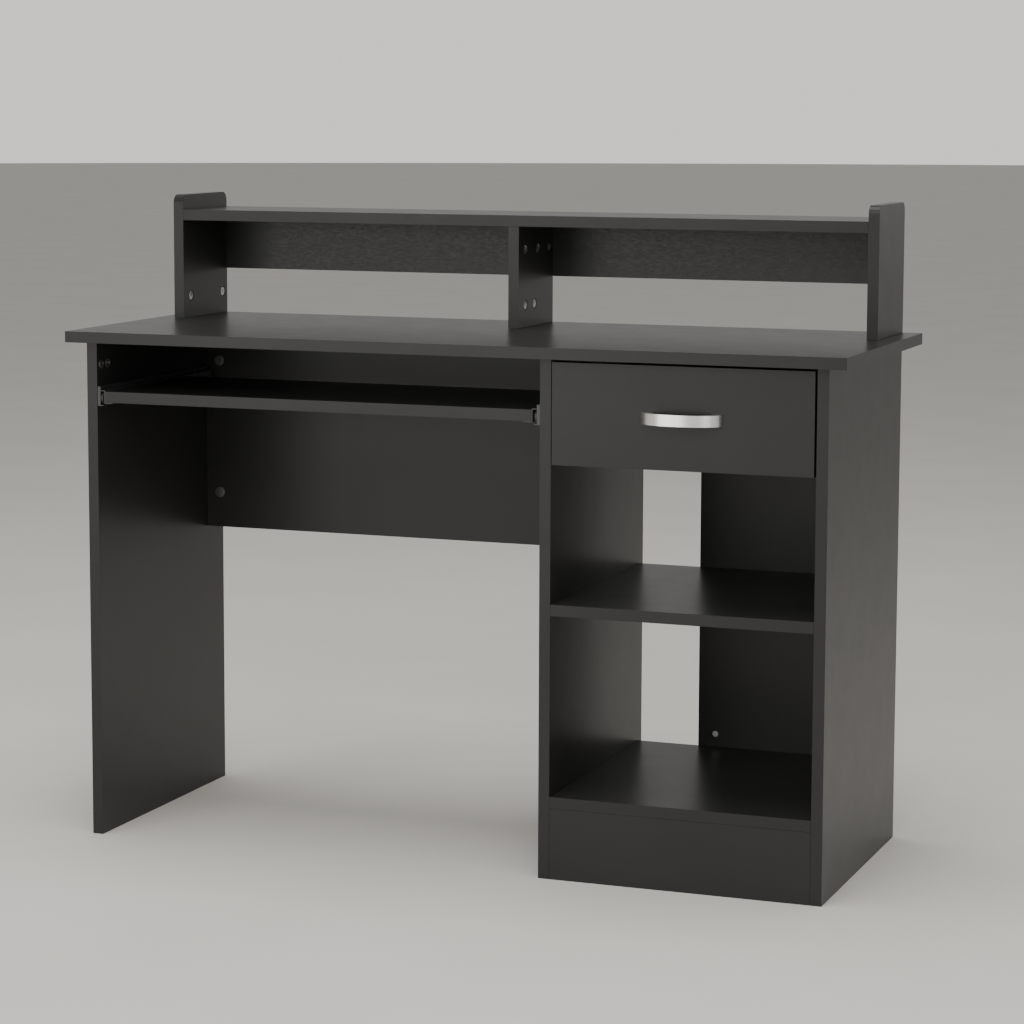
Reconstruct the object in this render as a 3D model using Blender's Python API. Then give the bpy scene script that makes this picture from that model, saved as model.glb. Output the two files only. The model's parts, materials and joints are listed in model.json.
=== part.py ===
"""Computer desk with a keyboard tray, one drawer, open cabinet and a low hutch.

Metres, +X right, +Y to the back, +Z up. The floor is z = 0 and the origin is under the middle
of the bounding box. FRONT is the plane of the side panels' front edges.
"""

import math

import bmesh
import bpy
from mathutils import Matrix, Vector

# ---------------------------------------------------------------- driving dimensions
GAP = 0.0003  # left between touching pieces
BOARD = 0.016  # board thickness
THIN = 0.003  # hardboard thickness

TOP_WIDTH = 1.156
TOP_HEIGHT = 0.742
TOP_OVERHANG = 0.0155  # worktop in front of the side panels
PANEL_DEPTH = 0.412
TOP_REAR = 0.4245  # rear edge of the worktop, behind FRONT

HANDLE_REACH = 0.027
FRONT = -(TOP_REAR - HANDLE_REACH) / 2

LEG_LEFT = -0.551  # outer faces of the two side panels
LEG_RIGHT = 0.551
CABINET_LEFT = 0.146  # outer face of the panel between knee space and cabinet

KNEE_BACK_Y = 0.356
KNEE_BACK_BOTTOM = 0.411

MIDDLE_SHELF_TOP = 0.3866
BOTTOM_SHELF_TOP = 0.1167
CABINET_BACK_LEFT = 0.2567
CABINET_BACK_Y = 0.396

TRAY_TOP = 0.655
TRAY_DEPTH = 0.258
SLIDE_SPACE = 0.0127  # room for one slide between a board and a panel

DRAWER_TOP = 0.7214
DRAWER_BOTTOM = 0.5801
DRAWER_LEFT_GAP = 0.0012
DRAWER_RIGHT_GAP = 0.0032
BOX_BOTTOM = 0.6010
BOX_HEIGHT = 0.100
BOX_LENGTH = 0.350
BOX_SIDE = 0.012
GROOVE = 0.005

HUTCH_LEFT = -0.5465
HUTCH_RIGHT = 0.549
HUTCH_FRONT = 0.2725
HUTCH_REAR = 0.424
HUTCH_TOP = 0.930
HUTCH_CORNER = 0.013
HUTCH_SHELF_TOP = 0.9075
HUTCH_BACK_BOTTOM = 0.811
DIVIDER_LEFT = -0.0025

HANDLE_LENGTH = 0.1140
HANDLE_HEIGHT = 0.0156
HANDLE_STRIP = 0.0036
HANDLE_HOLES = 0.096
HANDLE_FOOT = 0.0150

CAM_RADIUS = 0.0075
CAM_DEPTH = 0.0120
CAP_RADIUS = 0.0085

ROLLER_RADIUS = 0.0095
ROLLER_WIDTH = 0.0032
ROLLER_X = 0.0067  # middle of a roller, from the panel face
AXLE_RADIUS = 0.0020
STEEL = 0.0012  # sheet the slides are pressed from
RAIL_DROP = 0.0050  # rail's underside below the underside of the board it carries
RAIL_RISE = 0.0230  # and its upper side above it
RAIL_LENGTH = 0.350
RAIL_LEDGE = 0.0092  # how far the rail's lower flange stands out from the panel
RUNNER_FLANGE = 0.0110  # how far the runner reaches under the board


# ---------------------------------------------------------------- scene and materials
for old in list(bpy.data.objects):
    bpy.data.objects.remove(old, do_unlink=True)

scene = bpy.context.scene
parts = bpy.data.collections.new("parts")
cutters = bpy.data.collections.new("cutters")
cutters.hide_render = True
scene.collection.children.link(parts)
scene.collection.children.link(cutters)


def make_material(name, colour, roughness, metallic=0.0):
    material = bpy.data.materials.new(name)
    material.use_nodes = True
    shader = material.node_tree.nodes["Principled BSDF"]
    shader.inputs["Base Color"].default_value = (*colour, 1)
    shader.inputs["Roughness"].default_value = roughness
    shader.inputs["Metallic"].default_value = metallic
    material.diffuse_color = (*colour, 1)
    return material


MATERIALS = {
    "charcoal_board": make_material("charcoal_board", (0.035, 0.035, 0.034), 0.32),
    "dark_hardboard": make_material("dark_hardboard", (0.045, 0.045, 0.044), 0.45),
    "black_steel": make_material("black_steel", (0.045, 0.045, 0.047), 0.4, 0.6),
    "roller_plastic": make_material("roller_plastic", (0.06, 0.06, 0.06), 0.5),
    "satin_nickel": make_material("satin_nickel", (0.72, 0.71, 0.68), 0.28, 1.0),
    "zinc": make_material("zinc", (0.62, 0.62, 0.6), 0.35, 1.0),
    "cap_plastic": make_material("cap_plastic", (0.05, 0.05, 0.05), 0.25),
}


def new_object(name, mesh, material, place=(0, 0, 0), collection=parts):
    made = bpy.data.objects.new(name, mesh)
    made.location = place
    if material:
        mesh.materials.append(MATERIALS[material])
    collection.objects.link(made)
    return made


def as_cutter(made):
    made.display_type = "WIRE"
    made.hide_render = True
    return made


def mesh_from(name, solid):
    bmesh.ops.recalc_face_normals(solid, faces=solid.faces)
    mesh = bpy.data.meshes.new(name)
    solid.to_mesh(mesh)
    solid.free()
    return mesh


def box(name, material, x, y, z, collection=parts):
    """A board between two x, two y (behind FRONT) and two z."""
    solid = bmesh.new()
    bmesh.ops.create_cube(solid, size=1)
    size = Vector((x[1] - x[0], y[1] - y[0], z[1] - z[0]))
    bmesh.ops.scale(solid, vec=size, verts=solid.verts)
    centre = ((x[0] + x[1]) / 2, (y[0] + y[1]) / 2 + FRONT, (z[0] + z[1]) / 2)
    return new_object(name, mesh_from(name, solid), material, centre, collection)


def turned(axis):
    """A matrix that lays the local Z of a cylinder along a world axis."""
    return {
        "x": Matrix.Rotation(math.radians(90), 4, "Y"),
        "-x": Matrix.Rotation(math.radians(-90), 4, "Y"),
        "-y": Matrix.Rotation(math.radians(90), 4, "X"),
        "y": Matrix.Rotation(math.radians(-90), 4, "X"),
        "z": Matrix.Identity(4),
    }[axis]


def add_cylinder(solid, radius, start, end, axis, segments=32, centre=(0, 0, 0), top_radius=None):
    """A cylinder or cone along an axis, from start to end on it, measured from centre."""
    made = bmesh.ops.create_cone(
        solid,
        cap_ends=True,
        segments=segments,
        radius1=radius,
        radius2=radius if top_radius is None else top_radius,
        depth=end - start,
    )
    place = Matrix.Translation(centre) @ turned(axis) @ Matrix.Translation((0, 0, (start + end) / 2))
    bmesh.ops.transform(solid, matrix=place, verts=made["verts"])


def cylinder(name, material, radius, start, end, axis, place, segments=32, collection=parts):
    solid = bmesh.new()
    add_cylinder(solid, radius, start, end, axis, segments)
    return new_object(name, mesh_from(name, solid), material, place, collection)


def cut(target, tool):
    change = target.modifiers.new("cut_" + tool.name, "BOOLEAN")
    change.operation = "DIFFERENCE"
    change.solver = "EXACT"
    change.object = tool
    return change


def bore(target, name, radius, depth, axis, place, segments=32):
    """A blind hole going depth into target from place, on a face whose outward normal is axis."""
    tool = cylinder(name, None, radius, -depth, 0.004, axis, place, segments, cutters)
    cut(target, as_cutter(tool))


def union(target, name, solid):
    """Joins the shape in solid, which is in target's own space, to target."""
    tool = new_object(name, mesh_from(name, solid), None, target.location, cutters)
    change = cut(target, as_cutter(tool))
    change.operation = "UNION"


def smooth(made, degrees=40):
    for face in made.data.polygons:
        face.use_smooth = True
    made.data.set_sharp_from_angle(angle=math.radians(degrees))


def extruded(name, material, outline, across, place, plane, collection=parts):
    """A flat outline of 2-D points, extruded to both sides by half of across."""
    solid = bmesh.new()
    to_world = {
        "yz": lambda a, b, c: Vector((c, a, b)),
        "xy": lambda a, b, c: Vector((a, b, c)),
        "xz": lambda a, b, c: Vector((a, c, b)),
    }[plane]
    low = [solid.verts.new(to_world(a, b, -across / 2)) for a, b in outline]
    high = [solid.verts.new(to_world(a, b, across / 2)) for a, b in outline]
    solid.faces.new(low)
    solid.faces.new(high[::-1])
    for i in range(len(outline)):
        j = (i + 1) % len(outline)
        solid.faces.new((low[i], high[i], high[j], low[j]))
    return new_object(name, mesh_from(name, solid), material, place, collection)


# ---------------------------------------------------------------- desk carcass
half = TOP_WIDTH / 2
under_top = TOP_HEIGHT - BOARD
knee = (LEG_LEFT + BOARD, CABINET_LEFT)  # inner faces either side of the knee space
inside = (CABINET_LEFT + BOARD, LEG_RIGHT - BOARD)  # inner faces of the cabinet

worktop = box(
    "worktop", "charcoal_board", (-half, half), (-TOP_OVERHANG, TOP_REAR), (under_top, TOP_HEIGHT)
)


def upright(name, x0):
    return box(name, "charcoal_board", (x0, x0 + BOARD), (0, PANEL_DEPTH), (0, under_top - GAP))


left_panel = upright("left_side_panel", LEG_LEFT)
cabinet_left = upright("cabinet_left_panel", CABINET_LEFT)
cabinet_right = upright("cabinet_right_panel", LEG_RIGHT - BOARD)

knee_back = box(
    "kneehole_back_panel",
    "charcoal_board",
    (knee[0] + GAP, knee[1] - GAP),
    (KNEE_BACK_Y, KNEE_BACK_Y + BOARD),
    (KNEE_BACK_BOTTOM, under_top - GAP),
)
cabinet_back = box(
    "cabinet_back_board",
    "charcoal_board",
    (CABINET_BACK_LEFT, inside[1] - GAP),
    (CABINET_BACK_Y, CABINET_BACK_Y + BOARD),
    (0, under_top - GAP),
)
for name, top in (("middle_shelf", MIDDLE_SHELF_TOP), ("bottom_shelf", BOTTOM_SHELF_TOP)):
    box(
        name,
        "charcoal_board",
        (inside[0] + GAP, inside[1] - GAP),
        (0, CABINET_BACK_Y - GAP),
        (top - BOARD, top),
    )
box(
    "kick_board",
    "charcoal_board",
    (inside[0] + GAP, inside[1] - GAP),
    (0, BOARD),
    (0, BOTTOM_SHELF_TOP - BOARD - GAP),
)


# ---------------------------------------------------------------- hutch
def hutch_side(name, x0):
    """An upright with rounded upper corners."""
    bottom = TOP_HEIGHT + GAP
    outline = [(HUTCH_FRONT, bottom), (HUTCH_REAR, bottom)]
    steps = 8
    for corner_y, start in ((HUTCH_REAR - HUTCH_CORNER, 0), (HUTCH_FRONT + HUTCH_CORNER, 90)):
        for i in range(steps + 1):
            angle = math.radians(start + 90 * i / steps)
            outline.append(
                (
                    corner_y + HUTCH_CORNER * math.cos(angle),
                    HUTCH_TOP - HUTCH_CORNER + HUTCH_CORNER * math.sin(angle),
                )
            )
    middle = ((HUTCH_FRONT + HUTCH_REAR) / 2, (bottom + HUTCH_TOP) / 2)
    local = [(y - middle[0], z - middle[1]) for y, z in outline]
    place = (x0 + BOARD / 2, middle[0] + FRONT, middle[1])
    return extruded(name, "charcoal_board", local, BOARD, place, "yz")


hutch_left = hutch_side("hutch_left_panel", HUTCH_LEFT)
hutch_right = hutch_side("hutch_right_panel", HUTCH_RIGHT - BOARD)
shelf_under = HUTCH_SHELF_TOP - BOARD
hutch_inside = (HUTCH_LEFT + BOARD + GAP, HUTCH_RIGHT - BOARD - GAP)
box(
    "hutch_shelf", "charcoal_board", hutch_inside, (HUTCH_FRONT, HUTCH_REAR), (shelf_under, HUTCH_SHELF_TOP)
)
box(
    "hutch_back_strip",
    "dark_hardboard",
    hutch_inside,
    (HUTCH_REAR - THIN, HUTCH_REAR),
    (HUTCH_BACK_BOTTOM, shelf_under - GAP),
)
divider = box(
    "hutch_divider",
    "charcoal_board",
    (DIVIDER_LEFT, DIVIDER_LEFT + BOARD),
    (HUTCH_FRONT, HUTCH_REAR - THIN - GAP),
    (TOP_HEIGHT + GAP, shelf_under - GAP),
)


# ---------------------------------------------------------------- cam locks, caps and screws
def cam_lock(name, board, axis, place):
    """A slotted cam disc let into a board; place is on the board's face, axis its outward normal."""
    bore(board, "bore_" + name, CAM_RADIUS + GAP, CAM_DEPTH + GAP, axis, place)
    cam = cylinder(name, "zinc", CAM_RADIUS, -CAM_DEPTH, -0.0004, axis, place)
    slot = bmesh.new()
    bmesh.ops.create_cube(slot, size=1)
    bmesh.ops.scale(slot, vec=(0.0014, 0.0095, 0.004), verts=slot.verts)
    tilt = turned(axis) @ Matrix.Rotation(math.radians(35), 4, "Z")
    bmesh.ops.transform(slot, matrix=tilt, verts=slot.verts)
    tool = new_object("slot_" + name, mesh_from("slot_" + name, slot), None, place, cutters)
    cut(cam, as_cutter(tool))
    smooth(cam)
    return cam


def on_face(x, y, z):
    return (x, y + FRONT, z)


for i, y in enumerate((0.0145, 0.0345)):
    cam_lock(f"leg_cam_{i + 1}", left_panel, "x", on_face(knee[0], y, 0.694))
for i, y in enumerate((0.2985, 0.4085)):
    cam_lock(f"hutch_cam_{i + 1}", hutch_left, "x", on_face(HUTCH_LEFT + BOARD, y, 0.775))
divider_face = DIVIDER_LEFT + BOARD
for i, (y, z) in enumerate(((0.302, 0.8565), (0.356, 0.8565), (0.405, 0.8565), (0.303, 0.775), (0.342, 0.775))):
    cam_lock(f"divider_cam_{i + 1}", divider, "x", on_face(divider_face, y, z))


def domed_cap(name, board, place):
    """A push-in cap with a low dome, over a cam in the knee-space back panel."""
    bore(board, "bore_" + name, CAM_RADIUS + GAP, CAM_DEPTH, "-y", place)
    solid = bmesh.new()
    rings = [(0.0, -0.0100), (0.0070, -0.0100), (0.0070, GAP), (CAP_RADIUS, GAP), (CAP_RADIUS, 0.0009)]
    for angle in (65, 40, 18):
        lift = 0.0009 + 0.0018 * math.cos(math.radians(angle))
        rings.append((CAP_RADIUS * math.sin(math.radians(angle)), lift))
    rings.append((0.0, 0.0027))
    segments = 28
    loops = []
    for radius, height in rings:
        if radius == 0:
            loops.append([solid.verts.new((0, 0, height))])
            continue
        loops.append(
            [
                solid.verts.new(
                    (
                        radius * math.cos(2 * math.pi * k / segments),
                        radius * math.sin(2 * math.pi * k / segments),
                        height,
                    )
                )
                for k in range(segments)
            ]
        )
    for lower, upper in zip(loops, loops[1:]):
        for k in range(segments):
            n = (k + 1) % segments
            corners = [lower[k % len(lower)], lower[n % len(lower)], upper[n % len(upper)], upper[k % len(upper)]]
            solid.faces.new(list(dict.fromkeys(corners)))
    bmesh.ops.transform(solid, matrix=turned("-y"), verts=solid.verts)
    cap = new_object(name, mesh_from(name, solid), "cap_plastic", place)
    smooth(cap)
    return cap


cap_inset = 0.0225
for i, (x, z) in enumerate(
    (
        (knee[0] + cap_inset, 0.6716),
        (knee[0] + cap_inset, 0.4655),
        (knee[1] - cap_inset, 0.6716),
        (knee[1] - cap_inset, 0.4655),
    )
):
    domed_cap(f"kneehole_cap_{i + 1}", knee_back, on_face(x, KNEE_BACK_Y, z))

screw_place = on_face(0.2827, CABINET_BACK_Y, 0.1357)
bore(cabinet_back, "bore_back_screw", 0.0063, 0.0030, "-y", screw_place, 28)
bore(cabinet_back, "bore_back_screw_shank", 0.0023, 0.0120, "-y", screw_place, 20)
screw_solid = bmesh.new()
add_cylinder(screw_solid, 0.0045, -0.0027, -0.0008, "-y", 28)
back_screw = new_object("back_board_screw", mesh_from("back_board_screw", screw_solid), "zinc", screw_place)
shank = bmesh.new()
add_cylinder(shank, 0.0019, -0.0110, -0.0020, "-y", 20)
union(back_screw, "back_screw_shank", shank)
for turn in (0, 90):
    cross = bmesh.new()
    bmesh.ops.create_cube(cross, size=1)
    bmesh.ops.scale(cross, vec=(0.0009, 0.0048, 0.0016), verts=cross.verts)
    lay = Matrix.Translation((0, 0.0008, 0)) @ turned("-y") @ Matrix.Rotation(math.radians(turn + 20), 4, "Z")
    bmesh.ops.transform(cross, matrix=lay, verts=cross.verts)
    cross_name = f"cross_{turn}"
    tool = new_object(cross_name, mesh_from(cross_name, cross), None, screw_place, cutters)
    cut(back_screw, as_cutter(tool))
smooth(back_screw)


# ---------------------------------------------------------------- slides
def slide(prefix, side, face_x, board_under, rail_y, runner_y):
    """A roller slide between a panel face at face_x and a board; side is +1 when the board is at +X.

    The rail is screwed to the panel and holds the front roller. Its upper edge is turned down, and its
    front end is closed by a tab. The runner is under the board's end, moves with it and holds the rear
    roller.
    """

    def across(depth):
        return face_x + side * depth

    rail_low = board_under - RAIL_DROP
    rail_high = board_under + RAIL_RISE
    wall = 0.0006 + STEEL  # far side of the rail's web from the panel
    lip = ROLLER_X - ROLLER_WIDTH / 2 - GAP  # far side of the turned-down edge
    roller_z = rail_low + STEEL + 0.0004 + ROLLER_RADIUS
    flange_low = roller_z + ROLLER_RADIUS + 0.0007  # underside of the runner's flange, over the rollers
    lip_low = flange_low + STEEL + 2 * GAP
    outline = [
        (GAP, rail_low),
        (RAIL_LEDGE, rail_low),
        (RAIL_LEDGE, rail_low + STEEL),
        (wall, rail_low + STEEL),
        (wall, rail_high - STEEL),
        (lip - STEEL, rail_high - STEEL),
        (lip - STEEL, lip_low),
        (lip, lip_low),
        (lip, rail_high),
        (GAP, rail_high),
    ]
    middle_y = (rail_y[0] + rail_y[1]) / 2
    place = (face_x, middle_y + FRONT, board_under)
    rail = extruded(
        f"{prefix}_rail",
        "black_steel",
        [(side * a, z - board_under) for a, z in outline],
        rail_y[1] - rail_y[0],
        place,
        "xz",
    )
    tab = bmesh.new()
    bmesh.ops.create_cube(tab, size=1)
    bmesh.ops.scale(tab, vec=(lip - GAP, STEEL, rail_high - rail_low), verts=tab.verts)
    tab_place = (side * (lip + GAP) / 2, rail_y[0] + STEEL / 2 - middle_y, (rail_low + rail_high) / 2 - board_under)
    bmesh.ops.translate(tab, vec=tab_place, verts=tab.verts)
    union(rail, f"tab_{prefix}", tab)

    web = SLIDE_SPACE - GAP - STEEL  # near side of the runner's web from the panel
    outline = [
        (web, board_under - GAP - STEEL),
        (SLIDE_SPACE + RUNNER_FLANGE, board_under - GAP - STEEL),
        (SLIDE_SPACE + RUNNER_FLANGE, board_under - GAP),
        (web + STEEL, board_under - GAP),
        (web + STEEL, flange_low + STEEL),
        (lip + GAP, flange_low + STEEL),
        (lip + GAP, flange_low),
        (web, flange_low),
    ]
    middle_y = (runner_y[0] + runner_y[1]) / 2
    runner = extruded(
        f"{prefix}_runner",
        "black_steel",
        [(side * a, z - board_under) for a, z in outline],
        runner_y[1] - runner_y[0],
        (face_x, middle_y + FRONT, board_under),
        "xz",
    )

    front_y = rail_y[0] + ROLLER_RADIUS + 0.0010
    rear_y = runner_y[1] - ROLLER_RADIUS - 0.0010
    for which, y in (("front", front_y), ("rear", rear_y)):
        centre = on_face(across(ROLLER_X), y, roller_z)
        solid = bmesh.new()
        add_cylinder(solid, ROLLER_RADIUS, -ROLLER_WIDTH / 2, ROLLER_WIDTH / 2, "x", 36)
        roller_name = f"{prefix}_{which}_roller"
        roller = new_object(roller_name, mesh_from(roller_name, solid), "roller_plastic", centre)
        hole = cylinder(
            "hole_" + roller_name, None, AXLE_RADIUS + GAP, -0.01, 0.01, "x", centre, 20, cutters
        )
        cut(roller, as_cutter(hole))
        smooth(roller)
        holder = rail if which == "front" else runner
        tip = ROLLER_WIDTH / 2 + 0.0008  # how far the axle passes the roller's middle
        near, far = (wall - 0.0004, ROLLER_X + tip) if which == "front" else (ROLLER_X - tip, web + 0.0004)
        axle = bmesh.new()
        local = Vector(centre) - Vector(holder.location)
        local.x = 0
        ends = sorted((side * near, side * far))
        add_cylinder(axle, AXLE_RADIUS, ends[0], ends[1], "x", 20, local)
        union(holder, "axle_" + roller_name, axle)
    return rail, runner


tray_under = TRAY_TOP - BOARD
tray_x = (knee[0] + SLIDE_SPACE, knee[1] - SLIDE_SPACE)
box("keyboard_tray", "charcoal_board", tray_x, (0, TRAY_DEPTH), (tray_under, TRAY_TOP))
for word, side, face in (("left", 1, knee[0]), ("right", -1, knee[1])):
    slide(f"tray_{word}", side, face, tray_under, (0.0008, 0.0008 + RAIL_LENGTH), (0.0006, RAIL_LENGTH))

for word, side, face in (("left", 1, inside[0]), ("right", -1, inside[1])):
    slide(
        f"drawer_{word}",
        side,
        face,
        BOX_BOTTOM,
        (BOARD + 0.0040, BOARD + 0.0040 + BOX_LENGTH),
        (BOARD + GAP, BOARD + GAP + BOX_LENGTH - 0.0010),
    )


# ---------------------------------------------------------------- drawer
front_x = (inside[0] + DRAWER_LEFT_GAP, inside[1] - DRAWER_RIGHT_GAP)
drawer_front = box("drawer_front", "charcoal_board", front_x, (0, BOARD), (DRAWER_BOTTOM, DRAWER_TOP))
box_x = (inside[0] + SLIDE_SPACE, inside[1] - SLIDE_SPACE)
box_y = (BOARD + GAP, BOARD + GAP + BOX_LENGTH)
box_z = (BOX_BOTTOM, BOX_BOTTOM + BOX_HEIGHT)
walls = [
    drawer_front,
    box("drawer_left_side", "charcoal_board", (box_x[0], box_x[0] + BOX_SIDE), box_y, box_z),
    box("drawer_right_side", "charcoal_board", (box_x[1] - BOX_SIDE, box_x[1]), box_y, box_z),
    box(
        "drawer_back",
        "charcoal_board",
        (box_x[0] + BOX_SIDE + GAP, box_x[1] - BOX_SIDE - GAP),
        (box_y[1] - BOX_SIDE, box_y[1]),
        box_z,
    ),
]
floor_x = (box_x[0] + BOX_SIDE - GROOVE, box_x[1] - BOX_SIDE + GROOVE)
floor_y = (BOARD - GROOVE, box_y[1] - BOX_SIDE + GROOVE)
floor_z = (BOX_BOTTOM + 0.0090, BOX_BOTTOM + 0.0090 + THIN)
box("drawer_bottom", "dark_hardboard", floor_x, floor_y, floor_z)
groove = as_cutter(
    box(
        "groove",
        None,
        (floor_x[0] - GAP, floor_x[1] + GAP),
        (floor_y[0] - GAP, floor_y[1] + GAP),
        (floor_z[0] - GAP, floor_z[1] + GAP),
        cutters,
    )
)
for wall in walls:
    cut(wall, groove)

handle_x = (inside[0] + inside[1]) / 2
handle_z = (DRAWER_TOP + DRAWER_BOTTOM) / 2


def bow_outline():
    """Plan of the bow handle: outer curve one way, inner curve back, feet on the drawer front."""

    def side(half_length, reach, squareness, sweep, steps, direction):
        """Points of one curve; a higher squareness and a lower sweep give fuller ends."""
        points = []
        for i in range(steps + 1):
            share = math.cos(math.pi * i / steps)
            depth = reach * (1 - min(1.0, abs(share)) ** squareness) ** sweep
            points.append((direction * half_length * share, -max(depth, GAP)))
        return points

    outer = side(HANDLE_LENGTH / 2, HANDLE_REACH, 2.6, 0.62, 40, 1)
    inner = side(HANDLE_LENGTH / 2 - HANDLE_FOOT, HANDLE_REACH - HANDLE_STRIP, 2.8, 0.75, 24, -1)
    return outer + inner


handle = extruded(
    "drawer_handle", "satin_nickel", bow_outline(), HANDLE_HEIGHT, (handle_x, FRONT, handle_z), "xy"
)
smooth(handle, 30)
for word, side in (("left", -1), ("right", 1)):
    x = handle_x + side * HANDLE_HOLES / 2
    place = (x, FRONT, handle_z)
    through = cylinder(
        f"screw_hole_{word}", None, 0.0023, -0.0060, BOARD + 0.004, "y", place, 20, cutters
    )
    cut(drawer_front, as_cutter(through))
    cut(handle, through)
    solid = bmesh.new()
    add_cylinder(solid, 0.0020, -0.0055, BOARD + 0.0012, "y", 20)
    screw = new_object(f"handle_screw_{word}", mesh_from(f"handle_screw_{word}", solid), "zinc", place)
    head = bmesh.new()
    add_cylinder(head, 0.0042, BOARD + GAP, BOARD + 0.0024, "y", 24, top_radius=0.0034)
    union(screw, f"screw_head_{word}", head)
    smooth(screw)
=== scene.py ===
"""Computer desk with a keyboard tray: looks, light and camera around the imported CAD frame."""

import json
import math

import bmesh
import bpy
from mathutils import Matrix, Vector


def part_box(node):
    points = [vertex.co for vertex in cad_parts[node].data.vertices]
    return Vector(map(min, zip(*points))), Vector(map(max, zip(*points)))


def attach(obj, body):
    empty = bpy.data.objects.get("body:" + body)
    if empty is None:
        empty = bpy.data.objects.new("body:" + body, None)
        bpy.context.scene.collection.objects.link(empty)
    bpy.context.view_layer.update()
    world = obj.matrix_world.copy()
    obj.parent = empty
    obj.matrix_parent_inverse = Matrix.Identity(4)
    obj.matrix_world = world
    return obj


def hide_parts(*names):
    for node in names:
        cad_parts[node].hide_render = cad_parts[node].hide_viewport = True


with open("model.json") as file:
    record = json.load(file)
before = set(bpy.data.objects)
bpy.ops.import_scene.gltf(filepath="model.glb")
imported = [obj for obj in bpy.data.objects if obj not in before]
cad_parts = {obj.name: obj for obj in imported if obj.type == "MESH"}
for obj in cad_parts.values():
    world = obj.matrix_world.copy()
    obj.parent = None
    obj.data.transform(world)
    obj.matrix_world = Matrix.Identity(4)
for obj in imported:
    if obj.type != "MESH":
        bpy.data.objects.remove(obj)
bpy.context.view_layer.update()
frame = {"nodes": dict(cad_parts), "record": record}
nodes = frame["nodes"]


# ---------------------------------------------------------------- node helpers
class Shader:
    """A new node material, with short calls to add and join nodes."""

    def __init__(self, name):
        self.material = bpy.data.materials.new(name)
        self.material.use_nodes = True
        self.tree = self.material.node_tree
        self.tree.nodes.clear()
        self.out = self.add("ShaderNodeOutputMaterial")
        self.bsdf = self.add("ShaderNodeBsdfPrincipled")
        self.join(self.bsdf, "BSDF", self.out, "Surface")
        self.coords = self.add("ShaderNodeTexCoord")

    def add(self, kind, **settings):
        made = self.tree.nodes.new(kind)
        for key, value in settings.items():
            setattr(made, key, value)
        return made

    def join(self, source, output, target, socket):
        self.tree.links.new(source.outputs[output], target.inputs[socket])

    def set(self, **values):
        for key, value in values.items():
            self.bsdf.inputs[key.replace("_", " ")].default_value = value

    def noise(self, scale, detail=2.0, roughness=0.5, stretch=(1, 1, 1)):
        mapping = self.add("ShaderNodeMapping")
        mapping.inputs["Scale"].default_value = stretch
        self.join(self.coords, "Object", mapping, "Vector")
        texture = self.add("ShaderNodeTexNoise")
        texture.inputs["Scale"].default_value = scale
        texture.inputs["Detail"].default_value = detail
        texture.inputs["Roughness"].default_value = roughness
        self.join(mapping, "Vector", texture, "Vector")
        return texture

    def spread(self, texture, low, high):
        """Stretches the middle of a noise texture's range over low to high."""
        made = self.add("ShaderNodeMapRange")
        made.inputs["From Min"].default_value = 0.3
        made.inputs["From Max"].default_value = 0.7
        made.inputs["To Min"].default_value = low
        made.inputs["To Max"].default_value = high
        self.join(texture, "Fac", made, "Value")
        return made

    def shade(self, texture, dark, light):
        """Base colour that wanders between two colours with a noise texture."""
        mix = self.add("ShaderNodeMix", data_type="RGBA")
        mix.inputs[6].default_value = (*dark, 1)
        mix.inputs[7].default_value = (*light, 1)
        self.join(self.spread(texture, 0.0, 1.0), "Result", mix, "Factor")
        self.tree.links.new(mix.outputs[2], self.bsdf.inputs["Base Color"])

    def rough_over(self, texture, low, high):
        """Roughness that wanders from low to high with a noise texture."""
        self.join(self.spread(texture, low, high), "Result", self.bsdf, "Roughness")

    def bump(self, layers):
        """Stacked bumps; each layer is (noise texture, strength, distance)."""
        last = None
        for texture, strength, distance in layers:
            made = self.add("ShaderNodeBump")
            made.inputs["Strength"].default_value = strength
            made.inputs["Distance"].default_value = distance
            self.join(texture, "Fac", made, "Height")
            if last:
                self.join(last, "Normal", made, "Normal")
            last = made
        self.join(last, "Normal", self.bsdf, "Normal")


def melamine(name, dark, light, rough):
    """Faced chipboard: near-black, with a fine pearl texture that breaks up the sheen."""
    s = Shader(name)
    cloud = s.noise(5.0, 3.0)
    fleck = s.noise(900.0, 2.0, 0.6)
    s.shade(cloud, dark, light)
    wave = s.noise(26.0, 3.0, 0.55)
    s.rough_over(wave, rough - 0.012, rough + 0.014)
    pearl = s.noise(520.0, 1.5, 0.45)
    s.bump([(pearl, 0.07, 0.0003), (fleck, 0.05, 0.0002)])
    s.set(IOR=1.38)
    return s.material


def hardboard():
    """Dark-faced hardboard, with the fibre showing a little."""
    s = Shader("dark_hardboard")
    fibre = s.noise(160.0, 4.0, 0.65, (1, 1, 3))
    s.shade(fibre, (0.020, 0.020, 0.020), (0.027, 0.027, 0.026))
    s.rough_over(fibre, 0.36, 0.5)
    s.bump([(fibre, 0.12, 0.0003)])
    return s.material


def powder_coat():
    """Black powder coat on pressed steel, with a slight orange peel."""
    s = Shader("black_steel")
    peel = s.noise(900.0, 2.0)
    wear = s.noise(40.0, 4.0, 0.6)
    s.shade(wear, (0.034, 0.034, 0.035), (0.048, 0.048, 0.050))
    s.rough_over(wear, 0.26, 0.42)
    s.bump([(peel, 0.18, 0.0003)])
    return s.material


def moulded(name, dark, light, rough):
    """Moulded plastic with a very fine grain."""
    s = Shader(name)
    grain = s.noise(1400.0, 2.0)
    tint = s.noise(90.0, 2.0)
    s.shade(tint, dark, light)
    s.rough_over(tint, rough - 0.04, rough + 0.06)
    s.bump([(grain, 0.10, 0.0002)])
    return s.material


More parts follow.
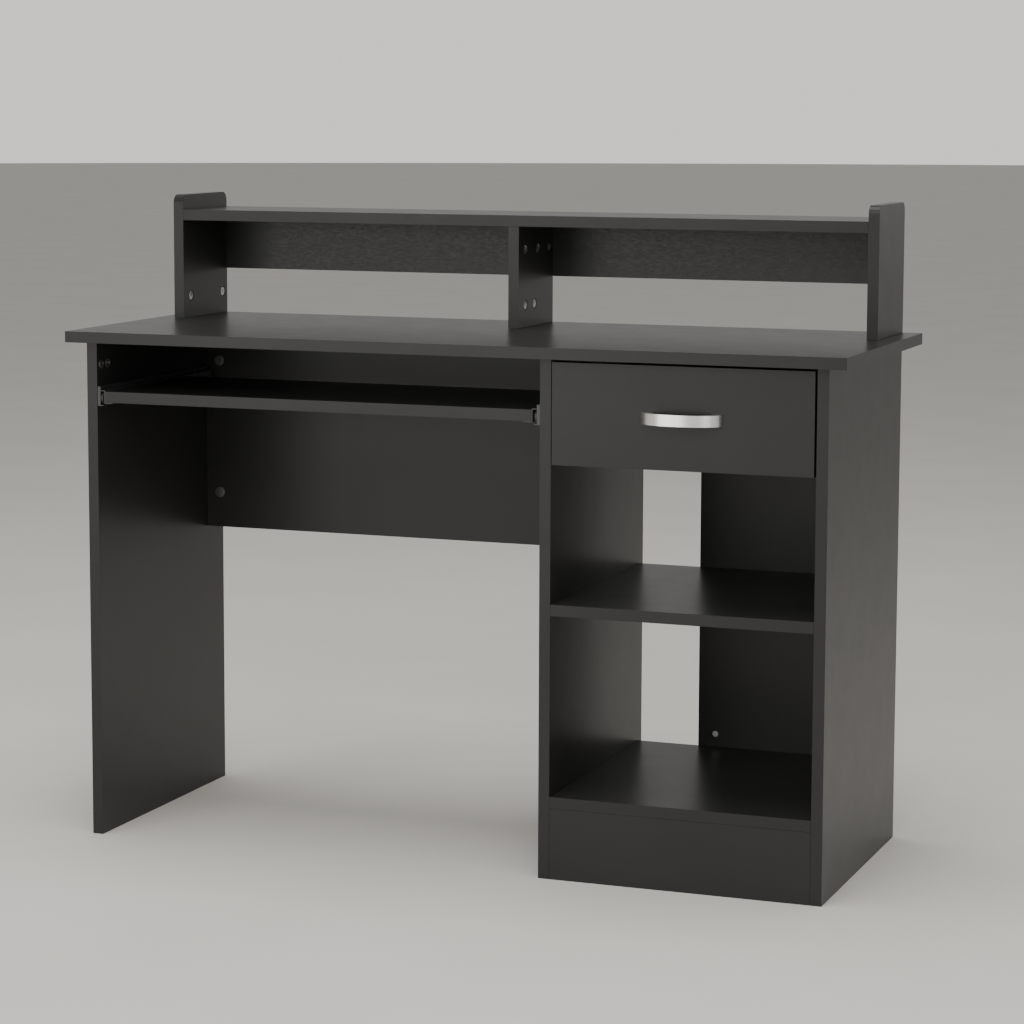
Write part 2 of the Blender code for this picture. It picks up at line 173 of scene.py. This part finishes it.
def satin_nickel():
    """Plated zinc, brushed along its length."""
    s = Shader("satin_nickel")
    brush = s.noise(90.0, 5.0, 0.7, (1.5, 60, 60))
    tone = s.noise(30.0, 2.0)
    s.shade(tone, (0.93, 0.92, 0.90), (0.97, 0.96, 0.94))
    s.rough_over(brush, 0.20, 0.32)
    s.bump([(brush, 0.12, 0.00015)])
    s.set(Metallic=1.0)
    return s.material


def bright_zinc():
    """Die-cast zinc, slightly grey and uneven."""
    s = Shader("zinc")
    cast = s.noise(500.0, 3.0)
    stain = s.noise(140.0, 3.0)
    s.shade(stain, (0.36, 0.36, 0.36), (0.60, 0.60, 0.59))
    s.rough_over(stain, 0.26, 0.44)
    s.bump([(cast, 0.25, 0.0003)])
    s.set(Metallic=1.0)
    return s.material


def pale_floor():
    """Matt studio floor."""
    s = Shader("pale_floor")
    speck = s.noise(3.0, 4.0)
    s.shade(speck, (0.74, 0.72, 0.68), (0.78, 0.76, 0.72))
    s.set(Roughness=0.75)
    return s.material


finishes = {
    "charcoal_board": melamine("charcoal_board", (0.0175, 0.0175, 0.0172), (0.0210, 0.0210, 0.0205), 0.34),
    "dark_hardboard": hardboard(),
    "black_steel": powder_coat(),
    "roller_plastic": moulded("roller_plastic", (0.022,) * 3, (0.032,) * 3, 0.50),
    "satin_nickel": satin_nickel(),
    "zinc": bright_zinc(),
    "cap_plastic": moulded("cap_plastic", (0.060,) * 3, (0.080,) * 3, 0.20),
}


# ---------------------------------------------------------------- CAD nodes: finish and eased edges
slot_of = {entry["node"]: entry["material_slot"] for entry in frame["record"]["subparts"]}
EDGE = {  # bevel width in metres, segments
    "charcoal_board": (0.0007, 3),
    "dark_hardboard": (0.0003, 2),
    "black_steel": (0.0003, 2),
    "roller_plastic": (0.0006, 3),
    "satin_nickel": (0.0011, 4),
    "zinc": (0.0003, 2),
    "cap_plastic": (0.0002, 2),
}


def ease(obj, width, segments):
    made = obj.modifiers.new("eased_edges", "BEVEL")
    made.width = width
    made.segments = segments
    made.limit_method = "ANGLE"
    made.angle_limit = math.radians(38)
    made.use_clamp_overlap = True
    made.harden_normals = False


for name, obj in nodes.items():
    slot = slot_of[name]
    for holder in obj.material_slots:
        holder.material = finishes[slot]
    ease(obj, *EDGE[slot])


# ---------------------------------------------------------------- small metal pieces
MM = 0.001


def lathe(profile, segments=36):
    """A closed turned solid about local Z, from (radius, height) points that start and end at radius 0."""
    solid = bmesh.new()
    rings = []
    for radius, height in profile:
        count = 1 if radius == 0 else segments
        ring = []
        for k in range(count):
            angle = 2 * math.pi * k / segments
            ring.append(solid.verts.new((radius * math.cos(angle), radius * math.sin(angle), height)))
        rings.append(ring)
    for lower, upper in zip(rings, rings[1:]):
        for k in range(segments):
            n = (k + 1) % segments
            near = [lower[k % len(lower)], lower[n % len(lower)]]
            far = [upper[n % len(upper)], upper[k % len(upper)]]
            solid.faces.new(list(dict.fromkeys(near + far)))
    bmesh.ops.recalc_face_normals(solid, faces=solid.faces)
    mesh = bpy.data.meshes.new("turned")
    solid.to_mesh(mesh)
    solid.free()
    return mesh


def wedge(width, length, depth, taper, angle):
    """A slot cutter centred on local Z, narrower at its lower end, turned by an angle in degrees."""
    solid = bmesh.new()
    made = bmesh.ops.create_cube(solid, size=1)["verts"]
    for corner in made:
        narrow = taper if corner.co.z < 0 else 1
        corner.co = Vector((corner.co.x * width * narrow, corner.co.y * length * narrow, corner.co.z * depth))
    bmesh.ops.rotate(solid, verts=made, matrix=Matrix.Rotation(math.radians(angle), 3, "Z"))
    mesh = bpy.data.meshes.new("wedge")
    solid.to_mesh(mesh)
    solid.free()
    return mesh


def carved(mesh, cutters):
    """The mesh with each (cutter mesh, offset along Z) taken out of it."""
    scene = bpy.context.scene.collection
    body = bpy.data.objects.new("carving", mesh)
    scene.objects.link(body)
    helpers = []
    for cutter, lift in cutters:
        tool = bpy.data.objects.new("cutter", cutter)
        tool.location.z = lift
        scene.objects.link(tool)
        helpers.append(tool)
        change = body.modifiers.new("cut", "BOOLEAN")
        change.operation = "DIFFERENCE"
        change.object = tool
    bpy.context.view_layer.update()
    graph = bpy.context.evaluated_depsgraph_get()
    result = bpy.data.meshes.new_from_object(body.evaluated_get(graph))
    for helper in [*helpers, body]:
        bpy.data.objects.remove(helper)
    for face in result.polygons:
        face.use_smooth = True
    result.set_sharp_from_angle(angle=math.radians(32))
    return result


TURN = {
    "+x": Matrix.Rotation(math.radians(90), 4, "Y"),
    "-x": Matrix.Rotation(math.radians(-90), 4, "Y"),
    "+y": Matrix.Rotation(math.radians(-90), 4, "X"),
    "-y": Matrix.Rotation(math.radians(90), 4, "X"),
    "-z": Matrix.Rotation(math.radians(180), 4, "X"),
}


def place_piece(name, mesh, slot, body, place, facing, spin=0):
    """A copy of a mesh that faces local +Z, set at a place, facing along an axis, on a body."""
    own = mesh.copy()
    own.name = name
    own.materials.clear()
    own.materials.append(finishes[slot])
    piece = bpy.data.objects.new(name, own)
    turn = TURN[facing] @ Matrix.Rotation(math.radians(spin), 4, "Z")
    piece.matrix_world = Matrix.Translation(place) @ turn
    bpy.context.scene.collection.objects.link(piece)
    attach(piece, body)
    return piece


def cam_mesh():
    """Cam lock: a rimmed disc in a wider bore, with a dished face, a cross slot and a pointer notch."""
    disc = lathe(
        [
            (0, -11.6 * MM),
            (7.4 * MM, -11.6 * MM),
            (7.4 * MM, -2.2 * MM),
            (6.9 * MM, -1.9 * MM),
            (6.7 * MM, -0.75 * MM),
            (6.3 * MM, -0.4 * MM),
            (5.6 * MM, -0.4 * MM),
            (5.2 * MM, -0.75 * MM),
            (3.4 * MM, -1.15 * MM),
            (0, -1.3 * MM),
        ],
        48,
    )
    long_slot = wedge(1.5 * MM, 8.6 * MM, 5 * MM, 0.75, 0)
    cross_slot = wedge(1.5 * MM, 5.2 * MM, 5 * MM, 0.7, 90)
    notch = wedge(1.3 * MM, 2.4 * MM, 1.6 * MM, 0.5, 0)
    for vertex in notch.vertices:
        vertex.co.x += 6.0 * MM
    return carved(disc, [(long_slot, -2.2 * MM), (cross_slot, -2.2 * MM), (notch, -0.4 * MM)])


def pan_head_mesh():
    """Pan-head screw with a cross recess."""
    head = lathe(
        [
            (0, -1.0 * MM),
            (1.6 * MM, -1.0 * MM),
            (1.6 * MM, 0),
            (3.3 * MM, 0),
            (3.4 * MM, 0.35 * MM),
            (3.0 * MM, 0.95 * MM),
            (2.1 * MM, 1.25 * MM),
            (0, 1.35 * MM),
        ],
        32,
    )
    arms = [wedge(0.8 * MM, 3.4 * MM, 1.8 * MM, 0.6, angle) for angle in (45, -45)]
    return carved(head, [(arm, 0.9 * MM) for arm in arms])


def nail_mesh():
    """Flat-headed nail, standing a little proud of the board."""
    turned = lathe(
        [
            (0, -3 * MM),
            (0.6 * MM, -3 * MM),
            (0.6 * MM, 0),
            (1.5 * MM, 0),
            (1.4 * MM, 0.2 * MM),
            (0, 0.3 * MM),
        ],
        20,
    )
    return carved(turned, [])


def middle(low, high):
    return (low + high) / 2


# ---------------------------------------------------------------- cams, screws and nails in place
cam = cam_mesh()
cam_spins = {"leg_cam_1": 12, "leg_cam_2": -8, "hutch_cam_1": 30, "hutch_cam_2": 75}  # degrees
CAM_SUNK = 0.4 * MM  # from the CAD cam's face out to the board's face, where the cam's own zero lies
for name in sorted(n for n in nodes if "_cam_" in n):
    low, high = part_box(name)
    place = (high[0] + CAM_SUNK, middle(low[1], high[1]), middle(low[2], high[2]))
    spin = cam_spins.get(name, 35 + 23 * int(name[-1]))
    piece = place_piece(name + "_lock", cam, "zinc", "desk", place, "+x", spin)
    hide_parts(name)

screw = pan_head_mesh()
RAIL_STANDOFF = 0.3 * MM  # from the panel's face to the rail's web
RAIL_WEB = 1.8 * MM  # from the panel's face to the near side of the rail's web
RAIL_SCREW_UP = 0.42  # share of the rail's height
RUNNER_SCREW_IN = 5.5 * MM  # from the runner's inner edge
SCREWS_ALONG = (0.09, 0.5, 0.93)  # shares of the rail's or board's length
SLIDES = {
    "tray_left": ("keyboard_tray", "keyboard_tray", "+x"),
    "tray_right": ("keyboard_tray", "keyboard_tray", "-x"),
    "drawer_left": ("drawer", "drawer_left_side", "+x"),
    "drawer_right": ("drawer", "drawer_right_side", "-x"),
}
for prefix, (body, board, facing) in SLIDES.items():
    inward = 1 if facing == "+x" else -1
    outer, inner = (0, 1) if inward > 0 else (1, 0)

    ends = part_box(prefix + "_rail")
    x = ends[outer][0] - inward * RAIL_STANDOFF + inward * RAIL_WEB
    z = ends[0][2] + RAIL_SCREW_UP * (ends[1][2] - ends[0][2])
    for i, share in enumerate(SCREWS_ALONG):
        place = (x, ends[0][1] + share * (ends[1][1] - ends[0][1]), z)
        place_piece(f"{prefix}_rail_screw_{i + 1}", screw, "zinc", "desk", place, facing, 20 + 37 * i)

    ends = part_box(prefix + "_runner")
    front, rear = (corner[1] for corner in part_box(board))
    x = ends[inner][0] - inward * RUNNER_SCREW_IN
    for i, share in enumerate(SCREWS_ALONG):
        place = (x, front + share * (rear - front), ends[0][2])
        place_piece(f"{prefix}_runner_screw_{i + 1}", screw, "zinc", body, place, "-z", 50 - 31 * i)

nail = nail_mesh()
NAILS_ACROSS = 9
NAIL_END_INSET = 20 * MM
NAIL_DOWN = 6 * MM  # from the strip's upper edge
low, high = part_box("hutch_back_strip")
nail_span = high[0] - low[0] - 2 * NAIL_END_INSET
for i in range(NAILS_ACROSS):
    x = low[0] + NAIL_END_INSET + nail_span * i / (NAILS_ACROSS - 1)
    place = (x, high[1], high[2] - NAIL_DOWN)
    place_piece(f"strip_nail_{i + 1}", nail, "zinc", "desk", place, "+y")


# ---------------------------------------------------------------- floor, light and camera
def softbox(name, place, aim, size, radiance, colour=(1, 1, 1)):
    """A rectangular light of even brightness, not seen by the camera itself."""
    data = bpy.data.lights.new(name, "AREA")
    data.shape = "RECTANGLE"
    data.size, data.size_y = size
    data.energy = radiance * size[0] * size[1] * math.pi
    data.color = colour
    lamp = bpy.data.objects.new(name, data)
    lamp.location = place
    lamp.rotation_euler = (Vector(aim) - Vector(place)).to_track_quat("-Z", "Y").to_euler()
    lamp.visible_camera = False
    bpy.context.scene.collection.objects.link(lamp)


def studio_world():
    """Pale all round at eye level, dimmer overhead."""
    world = bpy.data.worlds.new("studio")
    bpy.context.scene.world = world
    world.use_nodes = True
    tree = world.node_tree
    back = tree.nodes["Background"]
    back.inputs["Color"].default_value = (1.0, 0.985, 0.955, 1)
    coords = tree.nodes.new("ShaderNodeTexCoord")
    split = tree.nodes.new("ShaderNodeSeparateXYZ")
    height = tree.nodes.new("ShaderNodeMapRange")
    height.interpolation_type = "SMOOTHSTEP"
    height.inputs["From Min"].default_value = 0.05
    height.inputs["From Max"].default_value = 0.24
    height.inputs["To Min"].default_value = 0.96
    height.inputs["To Max"].default_value = 0.38
    tree.links.new(coords.outputs["Generated"], split.inputs[0])
    tree.links.new(split.outputs["Z"], height.inputs["Value"])
    tree.links.new(height.outputs["Result"], back.inputs["Strength"])


ground = bmesh.new()
bmesh.ops.create_circle(ground, cap_ends=True, segments=96, radius=40)
ground_mesh = bpy.data.meshes.new("floor")
ground.to_mesh(ground_mesh)
ground.free()
floor = bpy.data.objects.new("floor", ground_mesh)
ground_mesh.materials.append(pale_floor())
bpy.context.scene.collection.objects.link(floor)

studio_world()
softbox("front_left_low", (-1.7, -4.0, 0.9), (0.2, 0, 0.5), (2.2, 1.7), 2.4, (1, 0.99, 0.97))
softbox("front_high", (0.6, -3.8, 3.0), (0, 0, 0.5), (3.0, 2.0), 3.8, (1, 0.98, 0.95))
softbox("overhead", (0, -0.4, 4.4), (0, 0, 0.5), (3.2, 3.2), 3.8, (1, 0.98, 0.95))
softbox("front_right_low", (3.0, -3.6, 1.0), (0.2, 0, 0.5), (2.0, 1.7), 0.8)

yaw, pitch, roll = 21.2249, 6.8264, 0.0913
camera_data = bpy.data.cameras.new("camera")
camera_data.lens = 106.48
camera_data.shift_x = 0.0410
camera_data.shift_y = -0.0605
camera_data.clip_end = 200
camera = bpy.data.objects.new("camera", camera_data)
turn = (
    Matrix.Rotation(math.radians(yaw), 4, "Z")
    @ Matrix.Rotation(math.radians(90 - pitch), 4, "X")
    @ Matrix.Rotation(math.radians(roll), 4, "Z")
)
camera.matrix_world = Matrix.Translation((1.5465, -4.0682, 1.0923)) @ turn
bpy.context.scene.collection.objects.link(camera)
bpy.context.scene.camera = camera
